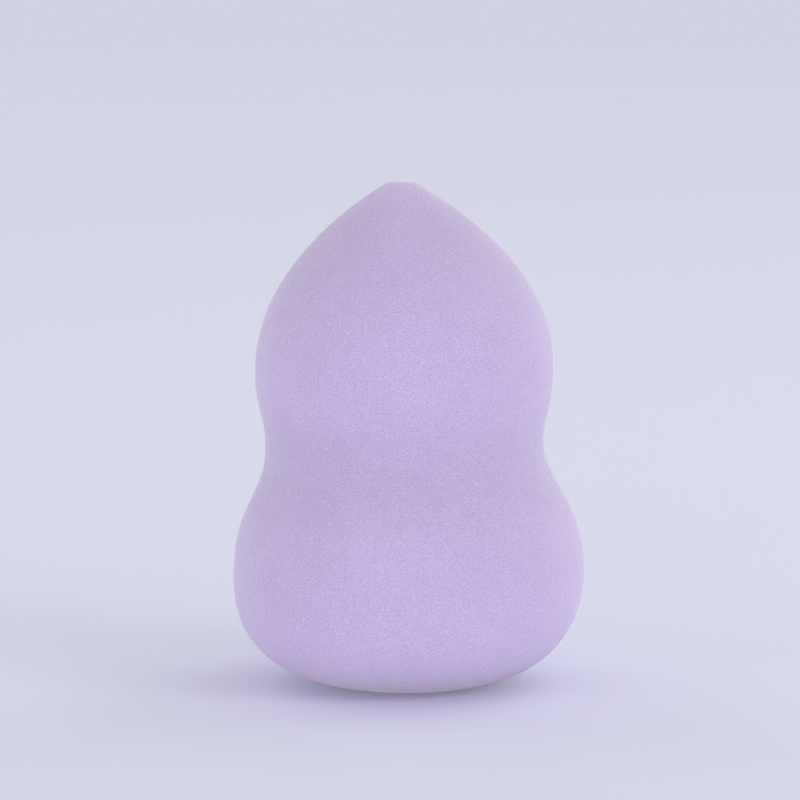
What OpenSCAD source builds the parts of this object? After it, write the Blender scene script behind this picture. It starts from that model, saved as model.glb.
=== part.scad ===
// Gourd-shaped makeup sponge: one piece of fine foam, ground to shape around its own axis.
// A pointed nose with a trimmed tip sits on a round upper bulb, and a waist divides that from
// the wider lower bulb, which stands on a small flat foot.
// Millimetres, +Z up. The origin is the middle of the foot, and Z is the sponge's axis.
// A reach is how far the surface keeps its direction from a named ring before it bends away.

/* [Overall] */
// Height from the flat foot to the trimmed tip
height = 60; // [54:0.5:68]

/* [Nose] */
// Diameter of the flat that trims the tip, before its edge is rounded
tip_flat_d = 3.4; // [2:0.1:8]
// Radius of the softened edge around that flat
tip_edge_r = 0.8; // [0.2:0.1:1.4]
// Angle between the nose's surface and the axis, at the tip
nose_angle = 58; // [45:0.5:70]
// Reach of the nose, down from the tip
nose_reach = 12.5; // [8:0.5:16]

/* [Upper bulb] */
// Diameter of the upper bulb at its widest ring
upper_d = 35.5; // [33:0.1:42]
// Height of that ring above the foot
upper_z = 38; // [34:0.1:42]
// Reach of the shoulder, up from that ring
shoulder_reach = 8; // [4:0.5:12]
// Reach of the upper bulb, down from that ring
upper_reach = 5.5; // [3:0.1:8]

/* [Waist] */
// Diameter of the waist at its narrowest ring
waist_d = 33.2; // [24:0.1:36]
// Height of that ring above the foot
waist_z = 29; // [25:0.1:32]
// Reach of the waist, up from that ring
waist_upper_reach = 3.2; // [1.5:0.1:5]
// Reach of the waist, down from that ring
waist_lower_reach = 5.8; // [3:0.1:9]

/* [Lower bulb] */
// Diameter of the lower bulb at its widest ring
lower_d = 42; // [34:0.1:50]
// Height of that ring above the foot
lower_z = 13; // [10:0.1:18]
// Reach of the lower bulb, up from that ring
lower_upper_reach = 9; // [5:0.1:12]
// Reach of the lower bulb, down from that ring
lower_under_reach = 9.5; // [5:0.1:12]

/* [Foot] */
// Diameter of the flat that the sponge stands on
foot_d = 12; // [6:0.5:24]
// Reach of the foot, outwards from the edge of that flat
foot_reach = 7; // [3:0.1:10]

/* [Smoothness] */
// Steps along each curve of the outline
curve_steps = 18; // [6:1:32]
// Steps around the softened edge at the tip
edge_steps = 4; // [2:1:8]
// Steps around the axis
turn_steps = 96; // [24:8:180]

/* [Hidden] */

foam_colour = "#c0b1dc";

// Directions in the plane of the outline, as [away from the axis, up]
out = [1, 0];
up = [0, 1];
square_angle = 90;

// The rings that the outline passes through, each as [radius, height]
foot_edge = [foot_d / 2, 0];
lower_ring = [lower_d / 2, lower_z];
waist_ring = [waist_d / 2, waist_z];
upper_ring = [upper_d / 2, upper_z];
tip_corner = [tip_flat_d / 2, height];

// Direction in which the nose leaves the tip, down and away from the axis
nose_way = [sin(nose_angle), -cos(nose_angle)];

// The softened edge touches the nose and the flat at this distance from their corner
edge_cut = tip_edge_r * tan((square_angle - nose_angle) / 2);
edge_centre = tip_corner - edge_cut * out - tip_edge_r * up;
nose_end = tip_corner + edge_cut * nose_way;

// Point at share t of a curve that leaves a towards b and arrives at d from c
function curve_point(a, b, c, d, t) =
    pow(1 - t, 3) * a + 3 * pow(1 - t, 2) * t * b + 3 * (1 - t) * pow(t, 2) * c + pow(t, 3) * d;

// Points along that curve, after its first one
function curve(a, b, c, d) =
    [for (i = [1:curve_steps]) curve_point(a, b, c, d, i / curve_steps)];

// Points along an arc, after its first one
function arc(centre, radius, from, to, steps) =
    [for (i = [1:steps]) let (angle = from + (to - from) * i / steps)
        centre + radius * [cos(angle), sin(angle)]];

function underside() =
    curve(foot_edge, foot_edge + foot_reach * out, lower_ring - lower_under_reach * up, lower_ring);

function lower_flank() =
    curve(lower_ring, lower_ring + lower_upper_reach * up,
        waist_ring - waist_lower_reach * up, waist_ring);

function upper_flank() =
    curve(waist_ring, waist_ring + waist_upper_reach * up,
        upper_ring - upper_reach * up, upper_ring);

function nose() =
    curve(upper_ring, upper_ring + shoulder_reach * up, nose_end + nose_reach * nose_way, nose_end);

function tip_edge() = arc(edge_centre, tip_edge_r, nose_angle, square_angle, edge_steps);

// Half of the sponge's section, from the middle of the foot around to the middle of the tip
function half_section() =
    concat([[0, 0]], [foot_edge], underside(), lower_flank(), upper_flank(), nose(), tip_edge(),
        [[0, height]]);

// The whole sponge, turned from that section
module foam_body() {
    color(foam_colour)
        rotate_extrude($fn = turn_steps)
            polygon(half_section());
}

foam_body();
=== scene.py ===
"""A makeup sponge: one piece of fine foam, ground to a gourd shape, standing on a pale studio floor.

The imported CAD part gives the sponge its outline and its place. This script models the foam skin over
it, with the small faults of a sponge that is ground by hand, dresses it, and sets up a plain studio.
Lengths are in metres, in the frame of the CAD part: +Z up, with the origin in the middle of the foot.
"""
import logging
import math
from collections.abc import Callable
from dataclasses import dataclass, field
from enum import Enum

import bpy
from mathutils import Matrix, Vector


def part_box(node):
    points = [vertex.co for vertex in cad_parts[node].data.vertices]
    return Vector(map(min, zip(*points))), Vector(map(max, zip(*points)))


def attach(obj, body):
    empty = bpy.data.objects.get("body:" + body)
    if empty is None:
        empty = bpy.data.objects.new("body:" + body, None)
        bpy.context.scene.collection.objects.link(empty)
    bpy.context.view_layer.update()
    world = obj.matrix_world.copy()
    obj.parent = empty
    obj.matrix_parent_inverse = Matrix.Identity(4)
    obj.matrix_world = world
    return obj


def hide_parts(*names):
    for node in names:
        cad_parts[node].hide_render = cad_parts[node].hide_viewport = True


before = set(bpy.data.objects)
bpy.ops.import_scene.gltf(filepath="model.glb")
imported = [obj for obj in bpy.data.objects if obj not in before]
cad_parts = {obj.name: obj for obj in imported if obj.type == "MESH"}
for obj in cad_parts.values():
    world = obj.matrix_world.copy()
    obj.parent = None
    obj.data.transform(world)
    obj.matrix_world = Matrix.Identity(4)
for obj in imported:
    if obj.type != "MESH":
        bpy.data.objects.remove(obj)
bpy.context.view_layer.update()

MM = 0.001

# Points closer together than this are one point
TOUCH = 0.001 * MM
# A face lies flat where its normal points up or down by at least this share
FLAT_SHARE = 0.999
# Heights in metres are compared after rounding to this many digits
HEIGHT_DIGITS = 6

# Where a Mix node takes two colours and gives the mixed one
FIRST_COLOUR = 6
SECOND_COLOUR = 7
MIXED_COLOUR = 2

# Nearly all of a noise lies between these two values, around its middle
NOISE_LOW = 0.3
NOISE_MIDDLE = 0.5
NOISE_HIGH = 0.7

# Waves in a cell's width of the noise that makes its walls ragged
WAVES_PER_CELL = 0.6
# Share of the relief that the walls of the cells make, where clumps make the rest
WALL_RELIEF = 0.55
# Share of a crumb's radius inside which it covers the foam fully
CRUMB_CORE = 0.4

log = logging.getLogger("sponge")

Socket = bpy.types.NodeSocket
Feed = float | tuple[float, ...] | Socket
Place = tuple[float, float, float]
Colour = tuple[float, float, float, float]


def linear(red: int, green: int, blue: int) -> Colour:
    """A colour as a shader socket takes it.

    Args:
        red: Red as a screen shows it, from 0 to 255.
        green: Green, likewise.
        blue: Blue, likewise.

    Returns:
        The colour in linear light, with an alpha of 1.
    """
    def channel(value: int) -> float:
        """One channel in linear light."""
        share = value / 255
        return share / 12.92 if share <= 0.04045 else ((share + 0.055) / 1.055) ** 2.4

    return channel(red), channel(green), channel(blue), 1.0


def ease(share: float) -> float:
    """A share held between 0 and 1, which leaves the one and nears the other gently.

    Args:
        share: The share that grows evenly.

    Returns:
        The eased share.
    """
    held = min(max(share, 0.0), 1.0)
    return held * held * (3 - 2 * held)


def hang(thing: bpy.types.Object, place: Place, aim: Place) -> None:
    """Adds a lamp or camera to the scene at a place, turned towards a point.

    Args:
        thing: The lamp or camera.
        place: Where it goes.
        aim: The point that it looks at.
    """
    thing.location = place
    way = Vector(aim) - Vector(place)
    thing.rotation_euler = way.to_track_quat("-Z", "Y").to_euler()
    bpy.context.scene.collection.objects.link(thing)


class Sheet:
    """A node tree, and short ways to add to it."""

    def __init__(self, tree: bpy.types.NodeTree) -> None:
        """Takes a node tree and empties it.

        Args:
            tree: The tree of a material, a world or a group.
        """
        self.tree = tree
        tree.nodes.clear()

    def feed(self, socket: Socket, value: Feed) -> None:
        """Links a socket to another one, or sets its value.

        Args:
            socket: The input.
            value: An output to link it to, or a plain value.
        """
        if isinstance(value, Socket):
            self.tree.links.new(value, socket)
        else:
            socket.default_value = value

    def add(self, kind: str, settings: dict[str, object] | None = None,
            inputs: dict[str | int, Feed] | None = None) -> bpy.types.Node:
        """Adds a node.

        Args:
            kind: The node's type.
            settings: Properties of the node, by name.
            inputs: What goes into its sockets, by name or number.

        Returns:
            The node.
        """
        node = self.tree.nodes.new(kind)
        for name, value in (settings or {}).items():
            setattr(node, name, value)
        for name, value in (inputs or {}).items():
            self.feed(node.inputs[name], value)
        return node

    def maths(self, kind: str, first: Feed, second: Feed) -> Socket:
        """The number that a Math node works out from two others."""
        return self.add("ShaderNodeMath", {"operation": kind}, {0: first, 1: second}).outputs[0]

    def vector_maths(self, kind: str, first: Feed, second: Feed) -> Socket:
        """The vector that a Vector Math node works out from two others."""
        return self.add("ShaderNodeVectorMath", {"operation": kind}, {0: first, 1: second}).outputs[0]

    def seen(self) -> Socket:
        """Tells the rays that show what they meet from those that only light it.

        Returns:
            A number: 1 for a ray from the camera, or by way of metal or glass, and 0 for any other.
        """
        path = self.add("ShaderNodeLightPath")
        seen = self.maths("MAXIMUM", path.outputs["Is Camera Ray"], path.outputs["Is Glossy Ray"])
        return self.maths("MAXIMUM", seen, path.outputs["Is Transmission Ray"])

    def stretched(self, vector: Feed, factor: Feed) -> Socket:
        """A vector times a number."""
        node = self.add("ShaderNodeVectorMath", {"operation": "SCALE"}, {0: vector, "Scale": factor})
        return node.outputs[0]

    def ramp(self, value: Feed, low: Feed, high: Feed, to_low: Feed = 0.0, to_high: Feed = 1.0) -> Socket:
        """A value carried smoothly from one range into another.

        Args:
            value: The value.
            low: Where the ramp starts.
            high: Where it ends.
            to_low: The result below the start.
            to_high: The result beyond the end.

        Returns:
            The result.
        """
        return self.add(
            "ShaderNodeMapRange", {"interpolation_type": "SMOOTHSTEP"},
            {0: value, 1: low, 2: high, 3: to_low, 4: to_high}).outputs[0]

    def noise(self, vector: Feed, scale: Feed, detail: float, roughness: float = 0.5) -> bpy.types.Node:
        """Adds a Noise Texture node.

        Args:
            vector: Where the noise is read.
            scale: How many waves it has in a metre.
            detail: How many finer layers it has.
            roughness: How much the finer layers count.

        Returns:
            The node.
        """
        return self.add("ShaderNodeTexNoise", None,
                        {"Vector": vector, "Scale": scale, "Detail": detail, "Roughness": roughness})

    def blend(self, share: Feed, first: Feed, second: Feed) -> Socket:
        """A colour between two others.

        Args:
            share: How much of the second colour shows, from 0 to 1.
            first: The first colour.
            second: The second colour.

        Returns:
            The mixed colour.
        """
        node = self.add("ShaderNodeMix", {"data_type": "RGBA"},
                        {"Factor": share, FIRST_COLOUR: first, SECOND_COLOUR: second})
        return node.outputs[MIXED_COLOUR]


class SocketKind(Enum):
    """What a socket of a node group carries."""

    NUMBER = "NodeSocketFloat"
    VECTOR = "NodeSocketVector"


@dataclass(frozen=True)
class GroupSpec:
    """A shader node group: its name, its sockets and what fills it."""

    name: str
    inputs: dict[str, tuple[SocketKind, Feed | None]]
    outputs: dict[str, SocketKind]
    fill: Callable[[Sheet, dict[str, Socket]], dict[str, Socket]]

    def tree(self) -> bpy.types.NodeTree:
        """Builds the group when it is first asked for.

        Returns:
            The group's node tree.
        """
        found = bpy.data.node_groups.get(self.name)
        if found:
            return found
        tree = bpy.data.node_groups.new(self.name, "ShaderNodeTree")
        sheet = Sheet(tree)
        for name, (kind, default) in self.inputs.items():
            socket = tree.interface.new_socket(name, in_out="INPUT", socket_type=kind.value)
            if default is not None:
                socket.default_value = default
        for name, kind in self.outputs.items():
            tree.interface.new_socket(name, in_out="OUTPUT", socket_type=kind.value)
        entry = sheet.add("NodeGroupInput")
        results = self.fill(sheet, {name: entry.outputs[name] for name in self.inputs})
        sheet.add("NodeGroupOutput", None, dict(results))
        return tree

    def place(self, sheet: Sheet, inputs: dict[str, Feed]) -> dict[str, Socket]:
        """Puts the group into a material.

        Args:
            sheet: The material's node tree.
            inputs: What goes into the group, by name.

        Returns:
            The group's outputs, by name.
        """
        node = sheet.add("ShaderNodeGroup", {"node_tree": self.tree()}, inputs)
        return {name: node.outputs[name] for name in self.outputs}


def fill_cells(sheet: Sheet, given: dict[str, Socket]) -> dict[str, Socket]:
    """Fills the group of cut foam cells: pores with walls between them, and clumps of cells.

    Args:
        sheet: The group's node tree.
        given: The group's inputs.

    Returns:
        Pore is 1 in the middle of an open cell, Clump varies softly around 0.5, and Height is highest
        on a cell's wall and lowest at the bottom of a pore.
    """
    place, cell, clump = given["Vector"], given["Cell size"], given["Clump size"]
    fine = sheet.maths("DIVIDE", 1.0, cell)
    coarse = sheet.maths("DIVIDE", 1.0, clump)
    wobble = sheet.noise(place, sheet.maths("MULTIPLY", fine, WAVES_PER_CELL), detail=1.0).outputs["Color"]
    wobble = sheet.vector_maths("SUBTRACT", wobble, (NOISE_MIDDLE,) * 3)
    amount = sheet.maths("MULTIPLY", cell, given["Raggedness"])
    ragged = sheet.vector_maths("ADD", place, sheet.stretched(wobble, amount))
    wall = sheet.add("ShaderNodeTexVoronoi", {"feature": "DISTANCE_TO_EDGE"},
                     {"Vector": ragged, "Scale": fine, "Randomness": given["Jumble"]})
    pore = sheet.ramp(wall.outputs["Distance"], 0.0, given["Wall width"])
    soft = sheet.noise(place, coarse, detail=0.6).outputs["Fac"]
    lumps = sheet.ramp(soft, NOISE_LOW, NOISE_HIGH)
    walls = sheet.maths("MULTIPLY", sheet.maths("SUBTRACT", 1.0, pore), WALL_RELIEF)
    height = sheet.maths("ADD", walls, sheet.maths("MULTIPLY", lumps, 1 - WALL_RELIEF))
    return {"Pore": pore, "Clump": lumps, "Height": height}


CELLS = GroupSpec(
    "Foam cells",
    {"Vector": (SocketKind.VECTOR, None), "Cell size": (SocketKind.NUMBER, 0.3 * MM),
     "Clump size": (SocketKind.NUMBER, 0.1 * MM), "Raggedness": (SocketKind.NUMBER, 1.0),
     "Jumble": (SocketKind.NUMBER, 1.0), "Wall width": (SocketKind.NUMBER, 0.3)},
    {"Pore": SocketKind.NUMBER, "Clump": SocketKind.NUMBER, "Height": SocketKind.NUMBER},
    fill_cells,
)


def fill_mottle(sheet: Sheet, given: dict[str, Socket]) -> dict[str, Socket]:
    """Fills the group of faint blotches that dye and density leave in a block of foam.

    Args:
        sheet: The group's node tree.
        given: The group's inputs.

    Returns:
        Mottle varies softly around 0.5.
    """
    scale = sheet.maths("DIVIDE", 1.0, given["Size"])
    broad = sheet.noise(given["Vector"], scale, detail=2.0, roughness=0.55).outputs["Fac"]
    return {"Mottle": sheet.ramp(broad, NOISE_LOW, NOISE_HIGH)}


MOTTLE = GroupSpec(
    "Soft mottle",
    {"Vector": (SocketKind.VECTOR, None), "Size": (SocketKind.NUMBER, 8 * MM)},
    {"Mottle": SocketKind.NUMBER},
    fill_mottle,
)


def fill_specks(sheet: Sheet, given: dict[str, Socket]) -> dict[str, Socket]:
    """Fills the group of stray crumbs of foam that cling to a ground surface.

    Args:
        sheet: The group's node tree.
        given: The group's inputs.

    Returns:
        Speck is 1 on a crumb and 0 elsewhere.
    """
    scale = sheet.maths("DIVIDE", 1.0, given["Spacing"])
    spots = sheet.add("ShaderNodeTexVoronoi", None, {"Vector": given["Vector"], "Scale": scale})
    reach = sheet.maths("MULTIPLY", spots.outputs["Distance"], given["Spacing"])
    radius = sheet.maths("MULTIPLY", given["Diameter"], 0.5)
    near = sheet.ramp(sheet.maths("DIVIDE", reach, radius), CRUMB_CORE, 1.0, 1.0, 0.0)
    pick = sheet.add("ShaderNodeSeparateColor", None, {"Color": spots.outputs["Color"]}).outputs["Red"]
    chosen = sheet.maths("LESS_THAN", pick, given["Share"])
    return {"Speck": sheet.maths("MULTIPLY", near, chosen)}


SPECKS = GroupSpec(
    "Stray crumbs",
    {"Vector": (SocketKind.VECTOR, None), "Spacing": (SocketKind.NUMBER, 2 * MM),
     "Diameter": (SocketKind.NUMBER, 0.25 * MM), "Share": (SocketKind.NUMBER, 0.3)},
    {"Speck": SocketKind.NUMBER},
    fill_specks,
)


@dataclass(frozen=True)
class FoamFinish:
    """Dyed foam with its cells cut open.

    The wall colour is the foam's own, and the pore colour is darker: it is painted shade inside the cells,
    and the darker tone of clumps and mottle. Pores pull the surface towards the pore colour as painted
    shade by their share, clumps of cells and mottle pull it there as tone that varies at random, and a
    few crumbs lie on it. Fuzz is the sheen of cut fibres, and glow is light that comes out of the foam
    again around the place where it went in.
    """

    name: str
    wall: Colour
    # Darker colour: painted shade in the pores, and the darker tone of clumps and mottle
    pore: Colour
    crumb: Colour = linear(214, 203, 233)
    cell: float = 0.36 * MM
    clump: float = 0.11 * MM
    raggedness: float = 0.8
    jumble: float = 0.85
    wall_width: float = 0.17
    # How far the middle of each pore is darkened as painted shade
    pore_shade_share: float = 0.35
    clump_share: float = 0.55
    mottle_size: float = 8 * MM
    mottle_share: float = 0.07
    crumb_gap: float = 2.4 * MM
    crumb_size: float = 0.3 * MM
    crumb_share: float = 0.2
    relief: float = 0.05 * MM
    smoothest: float = 0.86
    roughest: float = 0.97
    gloss: float = 0.2
    fuzz: float = 0.15
    fuzz_roughness: float = 0.6
    fuzz_tint: Colour = linear(236, 230, 250)
    glow: float = 1.0
    glow_reach: float = 12 * MM
    glow_spread: tuple[float, float, float] = (1.0, 0.85, 1.15)

    def material(self) -> bpy.types.Material:
        """Makes the finish as a material that reads the sponge's Object coordinates.

        Returns:
            The material.
        """
        material = bpy.data.materials.new(self.name)
        material.use_nodes = True
        sheet = Sheet(material.node_tree)
        place = sheet.add("ShaderNodeTexCoord").outputs["Object"]
        cells = CELLS.place(sheet, {"Vector": place, "Cell size": self.cell,
                                    "Clump size": self.clump, "Raggedness": self.raggedness,
                                    "Jumble": self.jumble, "Wall width": self.wall_width})
        mottle = MOTTLE.place(sheet, {"Vector": place, "Size": self.mottle_size})["Mottle"]
        speck = SPECKS.place(sheet, {"Vector": place, "Spacing": self.crumb_gap,
                                     "Diameter": self.crumb_size, "Share": self.crumb_share})["Speck"]
        # Painted shade: the middle of each pore is darkened towards the pore colour; clumps and mottle add
        # darker tone at random
        pore_shade_and_tone = sheet.maths("MULTIPLY", cells["Pore"], self.pore_shade_share)
        pore_shade_and_tone = sheet.maths("ADD", pore_shade_and_tone, sheet.maths("MULTIPLY", cells["Clump"], self.clump_share))
        pore_shade_and_tone = sheet.maths("ADD", pore_shade_and_tone, sheet.maths("MULTIPLY", mottle, self.mottle_share))
        colour = sheet.blend(pore_shade_and_tone, self.wall, self.pore)
        colour = sheet.blend(speck, colour, self.crumb)
        roughness = sheet.ramp(cells["Pore"], 0.0, 1.0, self.smoothest, self.roughest)
        height = sheet.maths("ADD", cells["Height"], speck)
        bump = sheet.add("ShaderNodeBump", None, {"Strength": 1.0, "Distance": self.relief, "Height": height})
        shader = sheet.add("ShaderNodeBsdfPrincipled", None, {
            "Base Color": colour, "Roughness": roughness, "Normal": bump.outputs["Normal"],
            "Specular IOR Level": self.gloss, "Sheen Weight": self.fuzz,
            "Sheen Roughness": self.fuzz_roughness, "Sheen Tint": self.fuzz_tint,
            "Subsurface Weight": self.glow, "Subsurface Scale": self.glow_reach,
            "Subsurface Radius": self.glow_spread})
        sheet.add("ShaderNodeOutputMaterial", None, {"Surface": shader.outputs["BSDF"]})
        return material


# The pore colour is the wall colour darkened, for painted shade in the pores
GROUND_FOAM = FoamFinish("ground_foam", wall=linear(198, 184, 218), pore=linear(168, 154, 188))
TRIMMED_FOAM = FoamFinish("trimmed_foam", wall=linear(200, 186, 220), pore=linear(168, 154, 188),
                          cell=0.26 * MM, raggedness=0.6, crumb_share=0.0)


@dataclass(frozen=True)
class Ring:
    """One ring of the sponge's outline."""

    radius: float
    height: float

    def gap(self, other: "Ring") -> float:
        """The distance along the outline to another ring."""
        return math.hypot(other.radius - self.radius, other.height - self.height)

    def turn(self, before: "Ring", after: "Ring") -> float:
        """How much the outline turns at this ring.

        Args:
            before: The ring before this one.
            after: The ring after it.

        Returns:
            The angle in radians.
        """
        arriving = math.atan2(self.height - before.height, self.radius - before.radius)
        leaving = math.atan2(after.height - self.height, after.radius - self.radius)
        return abs(leaving - arriving)


@dataclass(frozen=True)
class Lean:
    """How far the sponge's middle lies aside of its axis, at a share of its height."""

    share: float
    aside: float

    def order(self) -> float:
        """What puts the leans in order of height."""
        return self.share


@dataclass(frozen=True)
class Lump:
    """A faint unevenness that grinding leaves: how far apart its swells are, and how high they stand."""

    name: str
    size: float
    height: float


@dataclass
class FoamBody:
    """The foam sponge: its skin, turned over the CAD node's outline, and the faults of hand grinding.

    The skin has a ring where the outline bends by more than the least turn, and no two rings lie closer
    than the least band, or the tip's band where the outline turns sharply around the tip.
    """

    node: str = "foam_body"
    body: str = "root"
    slot: str = "foam"
    sides: int = 72
    least_band: float = 0.7 * MM
    tip_band: float = 0.1 * MM
    tip_reach: float = 1.2 * MM
    least_turn: float = math.radians(0.3)
    flat_rings: int = 3
    lean: tuple[Lean, ...] = (
        Lean(0.1, 0.14 * MM), Lean(0.24, 0.41 * MM), Lean(0.36, 0.39 * MM), Lean(0.5, -0.17 * MM),
        Lean(0.6, -0.19 * MM), Lean(0.72, -0.09 * MM), Lean(0.82, -0.12 * MM), Lean(1.0, -0.5 * MM))
    tip_tilt: float = math.radians(-1.5)
    smoothing: int = 2
    foot_fade: float = 2.5 * MM
    lumps: tuple[Lump, ...] = (Lump("swells", 9 * MM, 0.12 * MM), Lump("ripples", 2.2 * MM, 0.03 * MM))
    top: float = field(default=0.0, init=False)
    piece: bpy.types.Object | None = field(default=None, init=False)

    def __post_init__(self) -> None:
        """Reads the sponge's height from the CAD node."""
        self.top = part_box(self.node)[1].z

    def outline(self) -> list[Ring]:
        """Reads the rings of the CAD node where its outline bends.

        Returns:
            The rings, from the foot's edge up to the tip's.
        """
        widest: dict[float, float] = {}
        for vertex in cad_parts[self.node].data.vertices:
            height = round(vertex.co.z, HEIGHT_DIGITS)
            widest[height] = max(widest.get(height, 0.0), math.hypot(vertex.co.x, vertex.co.y))
        rings = [Ring(radius, height) for height, radius in sorted(widest.items())]
        bends = [ring for before, ring, after in zip(rings, rings[1:], rings[2:])
                 if ring.turn(before, after) > self.least_turn]
        kept = [rings[0]]
        for ring in bends:
            near_tip = ring.height > self.top - self.tip_reach
            if kept[-1].gap(ring) >= (self.tip_band if near_tip else self.least_band):
                kept.append(ring)
        return [*kept, rings[-1]]

    def middle(self, height: float) -> float:
        """How far the sponge's middle lies from the axis, along X.

        Args:
            height: The height at which it is asked for.

        Returns:
            The distance, negative towards -X.
        """
        share = height / self.top
        below = max((lean for lean in self.lean if lean.share <= share), default=self.lean[0], key=Lean.order)
        above = min((lean for lean in self.lean if lean.share > share), default=self.lean[-1], key=Lean.order)
        gap = above.share - below.share
        part = ease((share - below.share) / gap) if gap > 0 else 0.0
        return below.aside + (above.aside - below.aside) * part

    def turn_skin(self) -> None:
        """Draws the foot's edge as a circle and pulls it up ring by ring along the outline."""
        rings = self.outline()
        foot = rings[0]
        bpy.ops.object.select_all(action="DESELECT")
        bpy.ops.mesh.primitive_circle_add(
            vertices=self.sides, radius=foot.radius, fill_type="NGON",
            location=(self.middle(foot.height), 0, foot.height))
        self.piece = bpy.context.object
        self.piece.name = self.piece.data.name = "sponge"
        bpy.ops.object.transform_apply(location=True)
        bpy.ops.object.mode_set(mode="EDIT")
        bpy.ops.mesh.select_mode(type="FACE")
        bpy.ops.mesh.select_all(action="SELECT")
        for below, ring in zip(rings, rings[1:]):
            aside = self.middle(ring.height) - self.middle(below.height)
            rise = ring.height - below.height
            bpy.ops.mesh.extrude_region_move(TRANSFORM_OT_translate={"value": (aside, 0, rise)})
            factor = ring.radius / below.radius
            bpy.ops.transform.resize(
                value=(factor, factor, 1), center_override=(self.middle(ring.height), 0, ring.height))
        self.tilt_tip(rings[-1])
        self.close_flat(rings[-1])
        self.pick_flat(at=foot.height)
        self.close_flat(foot)
        bpy.ops.mesh.select_all(action="SELECT")
        bpy.ops.mesh.remove_doubles(threshold=TOUCH)
        bpy.ops.mesh.normals_make_consistent(inside=False)
        bpy.ops.object.mode_set(mode="OBJECT")

    def tilt_tip(self, tip: Ring) -> None:
        """Tilts the selected flat at the tip, which scissors don't leave quite square to the axis.

        Args:
            tip: The ring around the flat.
        """
        bpy.ops.transform.rotate(value=self.tip_tilt, orient_axis="Y",
                                 center_override=(self.middle(tip.height), 0, tip.height))

    def close_flat(self, edge: Ring) -> None:
        """Fills the selected flat with rings of faces that meet in its middle.

        Args:
            edge: The ring around the flat.
        """
        step = edge.radius / (self.flat_rings + 1)
        for _ in range(self.flat_rings):
            bpy.ops.mesh.inset(thickness=step)
        bpy.ops.mesh.poke()

    def pick_flat(self, at: float) -> None:
        """Selects the one face that lies flat at a height.

        Args:
            at: The height.
        """
        bpy.ops.mesh.select_all(action="DESELECT")
        bpy.ops.object.mode_set(mode="OBJECT")
        for face in self.piece.data.polygons:
            face.select = abs(face.center.z - at) < TOUCH and abs(face.normal.z) > FLAT_SHARE
        bpy.ops.object.mode_set(mode="EDIT")

    def soften(self) -> None:
        """Rounds the turned skin, and gives it the faint swells that grinding leaves."""
        rounding = self.piece.modifiers.new("rounding", "SUBSURF")
        rounding.levels = rounding.render_levels = self.smoothing
        bpy.ops.object.modifier_apply(modifier=rounding.name)
        fade = self.piece.vertex_groups.new(name="ground")
        for vertex in self.piece.data.vertices:
            fade.add([vertex.index], ease(vertex.co.z / self.foot_fade), "REPLACE")
        for lump in self.lumps:
            clouds = bpy.data.textures.new(lump.name, "CLOUDS")
            clouds.noise_scale = lump.size
            swell = self.piece.modifiers.new(lump.name, "DISPLACE")
            swell.texture = clouds
            swell.texture_coords = "LOCAL"
            swell.mid_level = NOISE_MIDDLE
            swell.strength = lump.height
            swell.vertex_group = fade.name
            bpy.ops.object.modifier_apply(modifier=swell.name)
        self.piece.vertex_groups.clear()
        bpy.ops.object.shade_smooth()

    def dress(self) -> None:
        """Gives the skin its ground finish, and the trimmed tip its own."""
        mesh = self.piece.data
        ground, trimmed = GROUND_FOAM.material(), TRIMMED_FOAM.material()
        mesh.materials.clear()
        mesh.materials.append(ground)
        mesh.materials.append(trimmed)
        trimmed_slot = mesh.materials.find(trimmed.name)
        tip = self.outline()[-1]
        centre = Vector((self.middle(tip.height), 0, tip.height))
        for face in mesh.polygons:
            if (face.center - centre).length < tip.radius:
                face.material_index = trimmed_slot

    def build(self) -> bpy.types.Object:
        """Makes the sponge and ties it to the CAD part.

        Returns:
            The finished piece.
        """
        self.turn_skin()
        self.soften()
        self.dress()
        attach(self.piece, self.body)
        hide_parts(self.node)
        return self.piece


@dataclass(frozen=True)
class Softbox:
    """A large soft lamp, aimed at the sponge."""

    name: str
    place: Place
    width: float
    height: float
    power: float
    aim: Place = (0.0, 0.0, 0.03)

    def light(self) -> None:
        """Puts the lamp in its place, out of the camera's sight."""
        lamp = bpy.data.lights.new(self.name, "AREA")
        lamp.shape = "RECTANGLE"
        lamp.size = self.width
        lamp.size_y = self.height
        lamp.energy = self.power
        holder = bpy.data.objects.new(self.name, lamp)
        holder.visible_camera = False
        hang(holder, self.place, self.aim)
        log.info("%s: %.1f W", self.name, self.power)


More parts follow.
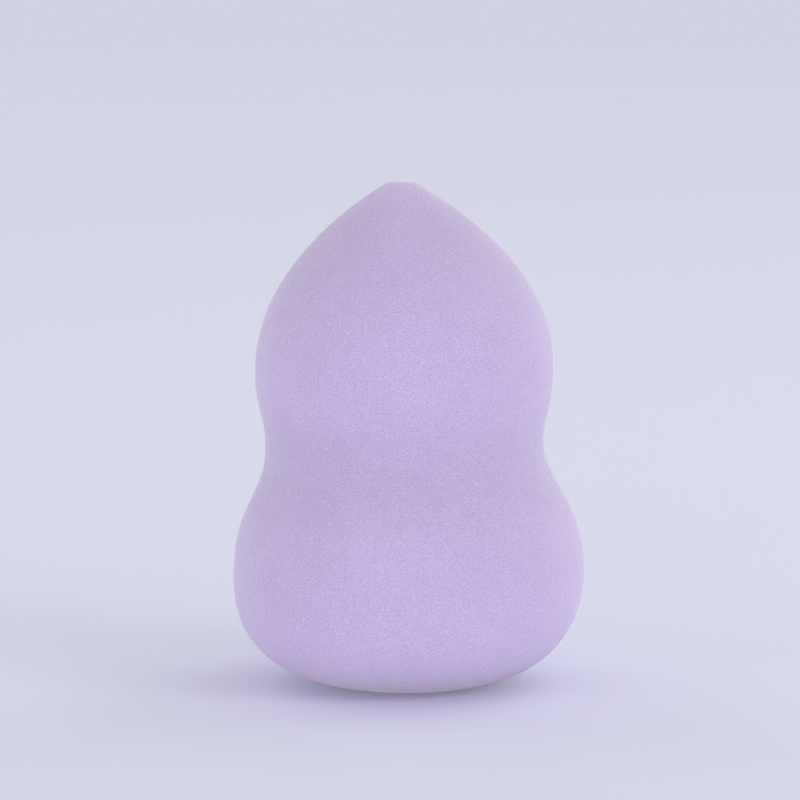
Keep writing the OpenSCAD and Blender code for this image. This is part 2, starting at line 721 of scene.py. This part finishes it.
@dataclass
class Studio:
    """The plain room around the sponge: floor, ambient light, lamps and camera.

    The floor's colour is painted palest near the sponge and darker far from it, as a painted pool of
    light and painted falloff, and it fades into the backdrop before it ends. Close around the foot it
    lets light through from below, so that the underside isn't black, but the camera sees it whole there
    from above.
    """

    floor_width: float = 4.0
    # Painted light: the floor colour is palest near the sponge and darker far away, as a pool of light and
    # its falloff
    floor_near_painted_light: Colour = linear(235, 236, 255)
    floor_far_painted_falloff: Colour = linear(215, 216, 235)
    near_reach: float = 0.05
    far_reach: float = 0.9
    fade_start: float = 0.5
    fade_end: float = 1.25
    foot_light_start: float = 12 * MM
    foot_light_end: float = 22 * MM
    floor_roughness: float = 0.75
    floor_gloss: float = 0.2
    white: Colour = (1.0, 1.0, 1.0, 1.0)
    ambient: float = 0.42
    backdrop: Colour = linear(209, 210, 229)
    lamps: tuple[Softbox, ...] = (
        Softbox("key", (1.56, -1.12, 0.9), width=1.6, height=0.8, power=7.7),
        Softbox("low_key", (1.7, -1.0, 0.72), width=0.7, height=0.7, power=4.3),
        Softbox("front_strip", (0, -2.4, 0.2), width=3.6, height=0.32, power=42.4),
        Softbox("left_strip", (-2.0, -1.0, 0.36), width=1.6, height=0.6, power=9.5),
        Softbox("back_strip", (0, 2.4, 0.25), width=3.6, height=0.4, power=20.7),
        Softbox("back_left", (-1.6, 1.7, 0.36), width=1.6, height=0.6, power=7.8),
        Softbox("back_right", (1.6, 1.7, 0.36), width=1.6, height=0.6, power=11.5),
        Softbox("high_left", (-1.2, 1.2, 1.6), width=1.6, height=1.4, power=3.9),
        Softbox("high_right", (1.2, 0.8, 1.6), width=1.6, height=1.4, power=5.7),
    )
    lens: float = 228.6
    sensor: float = 36.0
    camera_place: Place = (-0.00066, -0.6, 0.113)
    camera_aim: Place = (-0.00066, 0.0, 0.034)

    def floor_paint(self) -> bpy.types.Material:
        """Makes the floor's paint, with painted light: palest near the sponge and darker far away. It is
        see-through from below.

        Returns:
            The material.
        """
        material = bpy.data.materials.new("floor_paint")
        material.use_nodes = True
        sheet = Sheet(material.node_tree)
        place = sheet.add("ShaderNodeTexCoord").outputs["Object"]
        away = sheet.add("ShaderNodeVectorMath", {"operation": "LENGTH"}, {0: place}).outputs["Value"]
        # Painted light: palest near the sponge, darker towards the far floor
        share = sheet.ramp(away, self.near_reach, self.far_reach)
        colour = sheet.blend(share, self.floor_near_painted_light, self.floor_far_painted_falloff)
        paint = sheet.add("ShaderNodeBsdfPrincipled", None, {
            "Base Color": colour, "Roughness": self.floor_roughness, "Specular IOR Level": self.floor_gloss})
        below = sheet.add("ShaderNodeNewGeometry").outputs["Backfacing"]
        faded = sheet.ramp(away, self.fade_start, self.fade_end)
        clear = sheet.maths("MAXIMUM", below, faded)
        unseen = sheet.maths("SUBTRACT", 1.0, sheet.seen())
        under = sheet.ramp(away, self.foot_light_start, self.foot_light_end, 1.0, 0.0)
        clear = sheet.maths("MAXIMUM", clear, sheet.maths("MULTIPLY", unseen, under))
        glass = sheet.add("ShaderNodeBsdfTransparent")
        surface = sheet.add("ShaderNodeMixShader", None,
                            {0: clear, 1: paint.outputs[0], 2: glass.outputs[0]})
        sheet.add("ShaderNodeOutputMaterial", None, {"Surface": surface.outputs[0]})
        return material

    def lay_floor(self) -> None:
        """Lays the floor under the sponge."""
        bpy.ops.object.select_all(action="DESELECT")
        bpy.ops.mesh.primitive_plane_add(size=self.floor_width)
        floor = bpy.context.object
        floor.name = "floor"
        floor.data.materials.append(self.floor_paint())
        log.info("floor: %.0f m across", self.floor_width)

    def fill_room(self) -> None:
        """Sets the even light from all around, and the pale tone that the camera sees beyond the floor."""
        world = bpy.data.worlds.new("room")
        world.use_nodes = True
        bpy.context.scene.world = world
        sheet = Sheet(world.node_tree)
        light = sheet.add("ShaderNodeBackground", None, {"Color": self.white, "Strength": self.ambient})
        backdrop = sheet.add("ShaderNodeBackground", None, {"Color": self.backdrop, "Strength": 1.0})
        surface = sheet.add("ShaderNodeMixShader", None,
                            {0: sheet.seen(), 1: light.outputs[0], 2: backdrop.outputs[0]})
        sheet.add("ShaderNodeOutputWorld", None, {"Surface": surface.outputs[0]})

    def place_camera(self) -> None:
        """Places the camera where the photograph was taken from."""
        camera = bpy.data.cameras.new("camera")
        camera.lens = self.lens
        camera.sensor_width = self.sensor
        holder = bpy.data.objects.new("camera", camera)
        hang(holder, self.camera_place, self.camera_aim)
        bpy.context.scene.camera = holder
        bpy.context.scene.view_settings.view_transform = "Standard"

    def build(self) -> None:
        """Sets up the studio."""
        self.lay_floor()
        self.fill_room()
        for lamp in self.lamps:
            lamp.light()
        self.place_camera()


def main() -> None:
    """Builds the studio and the sponge, and reports each piece."""
    logging.basicConfig(level=logging.INFO, format="%(name)s: %(message)s")
    Studio().build()
    sponge = FoamBody().build()
    log.info("%s: %d faces", sponge.name, len(sponge.data.polygons))


if __name__ == "__main__":
    main()
